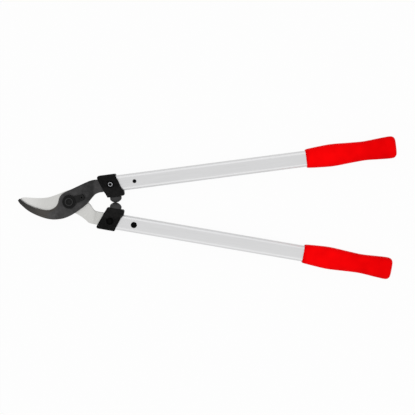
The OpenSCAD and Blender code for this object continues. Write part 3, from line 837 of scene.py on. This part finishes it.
# %% Screws in their places
CHAMFER = 0.8 * MM
HEX_KEY = 5 * MM
COLLAR_SCREW = {
    "head_height": 2.3 * MM,
    "socket_radius": HEX_KEY / math.sqrt(3),
    "socket_depth": 2 * MM,
    "shank_radius": 3 * MM,
}
TUBE_SCREW = {
    "head_height": 2 * MM,
    "socket_radius": 1.7 * MM,
    "socket_depth": 1.6 * MM,
    "shank_radius": 3 * MM,
}
PLATE_SCREW = {
    "head_height": 2.2 * MM,
    "socket_radius": 1.45 * MM,
    "socket_depth": 1.6 * MM,
    "shank_radius": 2 * MM,
}
TURN_OVER = Matrix.Rotation(math.pi, 4, "X")


def add_screw(name, node, body, finish, place, box, sizes):
    """Grows a screw to fill the box of its solid, with the underside of its head at the place."""
    low, high = box
    # The inner finish is painted shade, on the socket and the shank's end.
    screw = grow(
        screw_tree, name, (finish, STEEL["recess"]), place, chamfer=CHAMFER,
        head_radius=(high.y - low.y) / 2, shank_length=high.z - low.z - sizes["head_height"], **sizes,
    )
    dress(screw, body, node)


for side, body in SIDES.items():
    low, high = handle_box("collar_bolt")
    seat = Vector(((low.x + high.x) / 2, 0, high.z - COLLAR_SCREW["head_height"]))
    add_screw(
        f"{side}_collar_screw", f"{side}_collar_bolt", body, STEEL["zinc"],
        handle_frame(side) @ Matrix.Translation(seat), (low, high), COLLAR_SCREW,
    )
    low, high = handle_box("tube_screw")
    seat = Vector(((low.x + high.x) / 2, 0, low.z + TUBE_SCREW["head_height"]))
    add_screw(
        f"{side}_through_screw", f"{side}_tube_screw", body, STEEL["deep"],
        handle_frame(side) @ Matrix.Translation(seat) @ TURN_OVER, (low, high), TUBE_SCREW,
    )

low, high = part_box("segment_screw")
seat = Vector((*((low + high) / 2).xy, high.z - PLATE_SCREW["head_height"]))
add_screw(
    "plate_screw", "segment_screw", "hook_half", STEEL["plate"],
    Matrix.Translation(seat), (low, high), PLATE_SCREW,
)

# %% [markdown]
# ## The toothed nut
# The nut that sets the play of the jaws has a toothed flange and a plain hub, whose top is painted pale as a
# painted highlight ring. One tooth could be copied round a circle, but a cylinder with two sides for each
# tooth is already nearly there: it becomes the flange when every second line of its vertices is pulled in.
# The index of a vertex, odd or even, is all the rule needs.

# %% Nut rule
NUT_SIZES = ("Teeth", "Radius", "Tooth", "Flange", "Hub radius", "Hub height", "Chamfer", "Bore")


def toothed_flange(tree, size):
    radius = size["Radius"]
    sides = reckon(tree, size["Teeth"], "MULTIPLY", 2.0)
    blank = turned_stage(tree, size["Finish"], radius, radius, size["Flange"], sides=sides)
    index = add_node(tree, "GeometryNodeInputIndex")
    odd = reckon(tree, index.outputs["Index"], "MODULO", 2.0)
    pull = reckon(tree, odd, "MULTIPLY", reckon(tree, size["Tooth"], "DIVIDE", radius))
    keep = reckon(tree, 1.0, "SUBTRACT", pull)
    keep_flat = add_node(tree, "ShaderNodeCombineXYZ", {"Z": 1.0})
    where = add_node(tree, "GeometryNodeInputPosition")
    pulled = add_node(tree, "ShaderNodeVectorMath", operation="MULTIPLY")
    toothed = add_node(tree, "GeometryNodeSetPosition")
    wire(
        tree,
        (keep, keep_flat.inputs["X"]),
        (keep, keep_flat.inputs["Y"]),
        (where.outputs["Position"], pulled.inputs[0]),
        (keep_flat.outputs["Vector"], pulled.inputs[1]),
        (blank, toothed.inputs["Geometry"]),
        (pulled.outputs["Vector"], toothed.inputs["Position"]),
    )
    return toothed.outputs["Geometry"]


def nut_rule():
    tree, size = rule_tree("toothed_nut", NUT_SIZES)
    outside, inside = size["Finish"], size["Inner finish"]
    flange, chamfer, hub, bore = (size[name] for name in ("Flange", "Chamfer", "Hub radius", "Bore"))
    hub_rim = reckon(tree, hub, "SUBTRACT", chamfer)
    hub_wall = reckon(tree, size["Hub height"], "SUBTRACT", chamfer)
    hub_top = reckon(tree, flange, "ADD", hub_wall)
    half_flange = reckon(tree, flange, "MULTIPLY", 0.5)
    hub_stage = reckon(tree, half_flange, "ADD", hub_wall)
    solid = combined(
        tree,
        "UNION",
        toothed_flange(tree, size),
        turned_stage(tree, outside, hub, hub, hub_stage, half_flange),
        turned_stage(tree, outside, hub, hub_rim, chamfer, hub_top, top=inside),
    )
    below = reckon(tree, 0.0, "SUBTRACT", flange)
    through = reckon(tree, reckon(tree, flange, "ADD", size["Hub height"]), "MULTIPLY", 2.0)
    cutter = turned_stage(tree, outside, bore, bore, through, below)
    end_tree(tree, combined(tree, "DIFFERENCE", solid, cutter), size)
    return tree


nut_tree = nut_rule()
print("nut rule has", len(nut_tree.nodes), "nodes")

# %% Nut in its place
NUT_TEETH = 36
NUT_TOOTH = 0.8 * MM
NUT_FLANGE = 3 * MM
NUT_HUB = 7 * MM
NUT_BORE = 5.05 * MM

low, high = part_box("pivot_nut")
# The inner finish, on the hub's top, is the painted highlight.
nut = grow(
    nut_tree, "adjusting_nut", (STEEL["black"], STEEL["worn"]), Matrix.Translation((0, 0, low.z)),
    teeth=NUT_TEETH, radius=(high.x - low.x) / 2, tooth=NUT_TOOTH, flange=NUT_FLANGE,
    hub_radius=NUT_HUB, hub_height=high.z - low.z - NUT_FLANGE, chamfer=CHAMFER, bore=NUT_BORE,
)
dress(nut, "hook_half", "pivot_nut")

# %% [markdown]
# ## Tubes
# An oval aluminium tube is one section drawn through a die. An extruded face would do, but Curve to Mesh
# does just what the die does: a filleted rectangle swept along a straight line, once for the outside and
# once for the hollow, with the screw holes cut through.

# %% Tube rule
SECTION_SIZES = ("Length", "Width", "Depth", "Corner", "Wall")
HOLE_SIZES = ("First hole", "First radius", "Second hole", "Second radius")
CORNER_COUNT = 12


def drawn_section(tree, finish, width, depth, corner, length):
    outline = add_node(tree, "GeometryNodeCurvePrimitiveQuadrilateral", mode="RECTANGLE")
    feed(tree, outline.inputs["Width"], width)
    feed(tree, outline.inputs["Height"], depth)
    rounded = add_node(tree, "GeometryNodeFilletCurve", {"Count": CORNER_COUNT}, mode="POLY")
    feed(tree, rounded.inputs["Radius"], corner)
    line = add_node(tree, "GeometryNodeCurvePrimitiveLine", {"Direction": (1, 0, 0)}, mode="DIRECTION")
    feed(tree, line.inputs["Length"], length)
    sweep = add_node(tree, "GeometryNodeCurveToMesh", {"Fill Caps": True})
    wire(
        tree,
        (outline.outputs["Curve"], rounded.inputs["Curve"]),
        (line.outputs["Curve"], sweep.inputs["Curve"]),
        (rounded.outputs["Curve"], sweep.inputs["Profile Curve"]),
    )
    return coated(tree, sweep.outputs["Mesh"], finish)


def tube_rule():
    tree, size = rule_tree("drawn_tube", SECTION_SIZES + HOLE_SIZES)
    length, width, depth, corner, wall = (size[name] for name in SECTION_SIZES)
    finish = size["Finish"]
    both_walls = reckon(tree, wall, "MULTIPLY", 2.0)
    inner_width = reckon(tree, width, "SUBTRACT", both_walls)
    inner_depth = reckon(tree, depth, "SUBTRACT", both_walls)
    inner_corner = reckon(tree, corner, "SUBTRACT", wall)
    inner_length = reckon(tree, length, "ADD", both_walls)
    before = reckon(tree, 0.0, "SUBTRACT", wall)
    hollow = drawn_section(tree, finish, inner_width, inner_depth, inner_corner, inner_length)
    cuts = [place_at(tree, hollow, before)]
    under = reckon(tree, 0.0, "SUBTRACT", depth)
    through = reckon(tree, depth, "MULTIPLY", 2.0)
    for hole in ("First", "Second"):
        radius, along = size[f"{hole} radius"], size[f"{hole} hole"]
        cuts.append(turned_stage(tree, finish, radius, radius, through, under, along))
    drawn = drawn_section(tree, finish, width, depth, corner, length)
    end_tree(tree, combined(tree, "DIFFERENCE", drawn, *cuts), size)
    return tree


tube_tree = tube_rule()
print("tube rule has", len(tube_tree.nodes), "nodes")

# %% [markdown]
# The tube's finish is satin, with hair-fine die lines along its length. Grain stretched two hundred times
# longer than it is wide, and turned to lie along the handle, gives them. Each handle leans its own way,
# so each has its own turn of the same finish.

# %% Tubes in their places
HOLE_FIT = 0.1 * MM
TUBE_WALL = 2 * MM
TUBE_CORNER = 6 * MM


def drawn_aluminium(side):
    return grain_finish(
        f"drawn_aluminium_{side}",
        {"Metallic": 1},
        pattern={"width": 0.3 * MM, "length": 60 * MM, "turn": handle_lean(side), "detail": 3},
        dark_and_light=((0.62, 0.62, 0.625), (0.70, 0.70, 0.705)),
        roughness=(0.3, 0.42),
        depth=0.003 * MM,
    )


def hole_along(name):
    low, high = handle_box(name)
    return (low.x + high.x) / 2


low, high = handle_box("tube")
for side, body in SIDES.items():
    aluminium = drawn_aluminium(side)
    tube = grow(
        tube_tree, f"{side}_handle_tube", (aluminium, aluminium),
        handle_frame(side) @ Matrix.Translation((low.x, 0, 0)),
        length=high.x - low.x, width=high.y - low.y, depth=high.z - low.z,
        corner=TUBE_CORNER, wall=TUBE_WALL,
        first_hole=hole_along("collar_bolt") - low.x, first_radius=COLLAR_SCREW["shank_radius"] + HOLE_FIT,
        second_hole=hole_along("tube_screw") - low.x, second_radius=TUBE_SCREW["shank_radius"] + HOLE_FIT,
    )
    dress(tube, body, f"{side}_tube")

# %% [markdown]
# ## Collars
# The collar is an injection moulding: every edge of it is rounded, inside corners too. Bevels on a shape
# with so many meetings are fragile, so the copy is rebuilt from small voxels and relaxed. That rounds
# everything alike, as a mould does. The black nylon gets a fine eroded texture, and the boss by the middle
# line is painted a shade paler: a painted highlight, where its round face catches the overhead light. The
# packing inside the tube is the same nylon.

# %% Collars
VOXEL = 0.4 * MM
RELAX_SHARE = 0.5
RELAX_STEPS = 6


def black_nylon():
    return grain_finish(
        "black_nylon",
        {"Specular IOR Level": 0.03},
        pattern={"width": 0.35 * MM, "detail": 3},
        cloud={"width": 2.5 * MM, "detail": 4},
        dark_and_light=((0.0008, 0.0008, 0.0008), (0.013, 0.0127, 0.0127)),
        # Paler near the middle line: painted highlight on the boss's round face.
        levels=((-27, 0.45), (-20, 0.7), (-14, 0.8), (14, 0.8), (20, 0.7), (27, 0.45)),
        axis="Y",
        roughness=(0.4, 0.55),
        depth=0.02 * MM,
    )


def moulded_copy(node, name):
    piece = welded_copy(node, name)
    rebuilt = piece.modifiers.new("voxels", "REMESH")
    rebuilt.mode = "VOXEL"
    rebuilt.voxel_size = VOXEL
    rebuilt.use_smooth_shade = True
    relaxed = piece.modifiers.new("relaxed", "SMOOTH")
    relaxed.factor = RELAX_SHARE
    relaxed.iterations = RELAX_STEPS
    return made_plain(piece)


nylon = black_nylon()
for side, body in SIDES.items():
    collar = moulded_copy(f"{side}_collar", f"{side}_moulded_collar")
    dress(collar, body, f"{side}_collar", nylon)
    hexagon = soften(welded_copy(f"{side}_collar_nut", f"{side}_hexagon_nut"), SMALL_EDGE, SMALL_CORNER)
    # Partly painted shade: the hex nut sits down in the collar's recess.
    dress(hexagon, body, f"{side}_collar_nut", STEEL["deep"])
    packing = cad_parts[f"{side}_tang_insert"]
    for coat in packing.material_slots:
        coat.material = nylon

# %% [markdown]
# ## Lofted pieces
# The rubber domes and the grips are stacks of rings: circles for a dome, ovals for a grip. A Spin could
# turn the domes but not the grips, so one short function serves both: it joins the rings to a closed skin
# of four-sided faces, which a Subdivision Surface then makes smooth.

# %% Loft
SKIN_LEVELS = 2


def loft(name, rings):
    count = len(rings[0])
    corner = list(range(count))
    faces = [corner[::-1], [(len(rings) - 1) * count + k for k in corner]]
    for start in range(0, (len(rings) - 1) * count, count):
        for k in corner:
            after = (k + 1) % count
            faces.append((start + k, start + after, start + count + after, start + count + k))
    mesh = bpy.data.meshes.new(name)
    mesh.from_pydata([point for ring in rings for point in ring], [], faces)
    work = bmesh.new()
    work.from_mesh(mesh)
    bmesh.ops.recalc_face_normals(work, faces=work.faces)
    work.to_mesh(mesh)
    work.free()
    mesh.shade_smooth()
    return add_piece(name, mesh)


def smooth_skin(piece):
    surface = piece.modifiers.new("smooth_skin", "SUBSURF")
    surface.levels = SKIN_LEVELS
    surface.render_levels = SKIN_LEVELS


print("loft ready")

# %% [markdown]
# ## Bumpers
# A bumper is a solid rubber dome on a stem, pressed into the collar's boss. Its foot has a small round
# before the flat that sits on the boss, then a short straight side, then the round nose that meets its
# neighbour. Closed, the two noses press a small flat on each other. A soft-body simulation could find
# that flat, but it is so small that both noses are simply swollen a little and cut off at the middle
# plane.

# %% Bumper finish
RUBBER_GLOSS = 0.12
RUBBER_CLOUD = 1.2 * MM
RUBBER_PORE = 0.2 * MM
RUBBER_DEPTH = 0.012 * MM
RUBBER_TONES = ((0.029, 0.029, 0.0295), (0.045, 0.045, 0.045))
RUBBER_ROUGHNESS = (0.5, 0.62)


def dark_rubber():
    material, tree, shader = start_finish("dark_rubber", {"Specular IOR Level": RUBBER_GLOSS})
    cloud = grain(tree, RUBBER_CLOUD, detail=4)
    tones(tree, cloud, RUBBER_TONES, shader.inputs["Base Color"])
    spread(tree, cloud, RUBBER_ROUGHNESS, shader.inputs["Roughness"])
    roughen(tree, grain(tree, RUBBER_PORE), RUBBER_DEPTH, shader)
    return material


rubber = dark_rubber()
print("bumper finish:", rubber.name)

# %% Bumpers
DOME_RINGS = 8
DOME_SIDES = 32
DOME_HEIGHT = 9.4 * MM
NOSE_RADIUS = 10.4 * MM
NOSE_END = math.radians(88)
SWELL = 0.3 * MM
MEETING_GAP = 0.02 * MM
STEM_RADIUS = 6 * MM
RIM_ROUND = 0.5 * MM


def dome_profile(dome_radius, stem_length):
    """Radius and height of each ring, from the stem's end, below the boss, to the nose."""
    profile = [(STEM_RADIUS, -stem_length), (STEM_RADIUS, -RIM_ROUND), (STEM_RADIUS, 0)]
    profile += [(dome_radius - RIM_ROUND, 0), (dome_radius, RIM_ROUND), (dome_radius, 2 * RIM_ROUND)]
    swollen = NOSE_RADIUS + SWELL
    nose_start = math.acos(dome_radius / swollen)
    for k in range(DOME_RINGS):
        a = nose_start + (NOSE_END - nose_start) * k / (DOME_RINGS - 1)
        profile.append((swollen * math.cos(a), DOME_HEIGHT - NOSE_RADIUS + swollen * math.sin(a)))
    return profile


def circle(radius, height, foot):
    turns = [2 * math.pi * k / DOME_SIDES for k in range(DOME_SIDES)]
    return [(foot.x + radius * math.cos(a), foot.y - height, radius * math.sin(a)) for a in turns]


low, high = handle_box("bumper")
dome_foot = Vector(((low.x + high.x) / 2, low.y + DOME_HEIGHT))
profile = dome_profile((high.x - low.x) / 2, high.y - dome_foot.y)
for side, body in SIDES.items():
    dome = loft(f"{side}_rubber_dome", [circle(radius, height, dome_foot) for radius, height in profile])
    dome.data.transform(handle_frame(side))
    smooth_skin(dome)
    made_plain(dome)
    outward = math.copysign(1, handle_frame(side).translation.y)
    for vertex in dome.data.vertices:
        vertex.co.y = outward * max(outward * vertex.co.y, MEETING_GAP)
    dress(dome, body, f"{side}_bumper", rubber)

# %% [markdown]
# ## Grips
# The grip is a soft sleeve pulled over the tube's end. It could be sculpted, but then it would drift from
# its real size, so its width and thickness along the handle are read from its solid, ring by ring, and each
# ring becomes a rounded oval. Inside, the skin runs on along the tube to a closed end, so the sleeve is
# whole. Red vinyl is matt, with a very fine leathery pore. Its red is painted deeper towards its end, as
# painted shade where the light falls off, and in a thin band at the mouth, as a painted shadow under the
# lip.

# %% Grip finish
vinyl = grain_finish(
    "red_vinyl",
    {"Specular IOR Level": 0.06, "Specular Tint": (1, 0.1, 0.1, 1)},
    pattern={"width": 0.5 * MM, "detail": 4},
    cloud={"width": 18 * MM, "detail": 3},
    dark_and_light=((0.74, 0.0, 0.001), (0.98, 0.001, 0.002)),
    # Darker at the mouth: painted shadow under the lip. Darker towards the end: painted shade where the
    # light falls off.
    levels=((371, 0.1), (376, 0.3), (381, 0.68), (420, 0.65), (470, 0.35), (510, 0.3)),
    roughness=(0.44, 0.56),
    depth=0.025 * MM,
)
print("grip finish:", vinyl.name)

# %% Rings of a grip
GRIP_SIDES = 40
GRIP_SQUARENESS = 2.8
NECKED_IN = 1 * MM
SAME_RING = 0.01 * MM
SETTLE_STEPS = 24


def measured_rings(points):
    """Place, half width, half depth and drift of each ring of the solid, without the rings of its bore."""
    rings = []
    for s in np.unique((points[:, 0] / SAME_RING).round()) * SAME_RING:
        ring = points[abs(points[:, 0] - s) < SAME_RING][:, 1:]
        low, high = ring.min(0), ring.max(0)
        rings.append((s, *(high - low) / 2, (high[0] + low[0]) / 2))
    kept = [rings[0]]
    for before, ring, after in zip(rings, rings[1:], rings[2:]):
        if ring[1] + NECKED_IN > min(before[1], after[1]):
            kept.append(ring)
    return kept + [rings[-1]]


def oval(s, half_width, half_depth, drift):
    ring = []
    for k in range(GRIP_SIDES):
        a = 2 * math.pi * k / GRIP_SIDES
        across, out = (math.copysign(abs(f) ** (2 / GRIP_SQUARENESS), f) for f in (math.cos(a), math.sin(a)))
        ring.append(Vector((s, drift + half_width * across, half_depth * out)))
    return ring


def tube_ring(s, like, half_width, half_depth, corner):
    """Slides each point of a ring along its own ray until it lies on the tube's rounded section."""
    ring = []
    for point in like:
        place = point.yz
        for _ in range(SETTLE_STEPS):
            past = Vector((abs(place.x) - half_width + corner, abs(place.y) - half_depth + corner))
            outside = Vector((max(past.x, 0), max(past.y, 0))).length + min(max(past.x, past.y), 0) - corner
            place = place * (1 - outside / place.length)
        ring.append(Vector((s, place.x, place.y)))
    return ring


outer = [oval(*ring) for ring in measured_rings(handle_points("grip"))]
print("rings along a grip:", len(outer))

# %% Grips in their places
SEAT = 0.05 * MM
MOUTH_SUPPORT = 0.4 * MM

mouth = outer[0][0].x
low, high = handle_box("tube")
seat_size = (high.y + SEAT, high.z + SEAT, TUBE_CORNER + SEAT)
inner = [
    tube_ring(s, outer[0], *seat_size)
    for s in (high.x + SEAT, high.x - MOUTH_SUPPORT, mouth + MOUTH_SUPPORT, mouth)
]
for side, body in SIDES.items():
    grip = loft(f"{side}_sleeve_grip", inner + outer)
    grip.data.transform(handle_frame(side))
    smooth_skin(grip)
    dress(grip, body, f"{side}_grip", vinyl)

# %% [markdown]
# ## Sizes
# The dressed tool has to be the size of its construction. Both boxes are printed in millimetres.

# %% Finish
boxes = {"cad": [list(c) for c in solid_box], "visual": [list(c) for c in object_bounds()]}
for name, (low, high) in boxes.items():
    print(name, "box", [round((b - a) / MM, 2) for a, b in zip(low, high)], "mm")
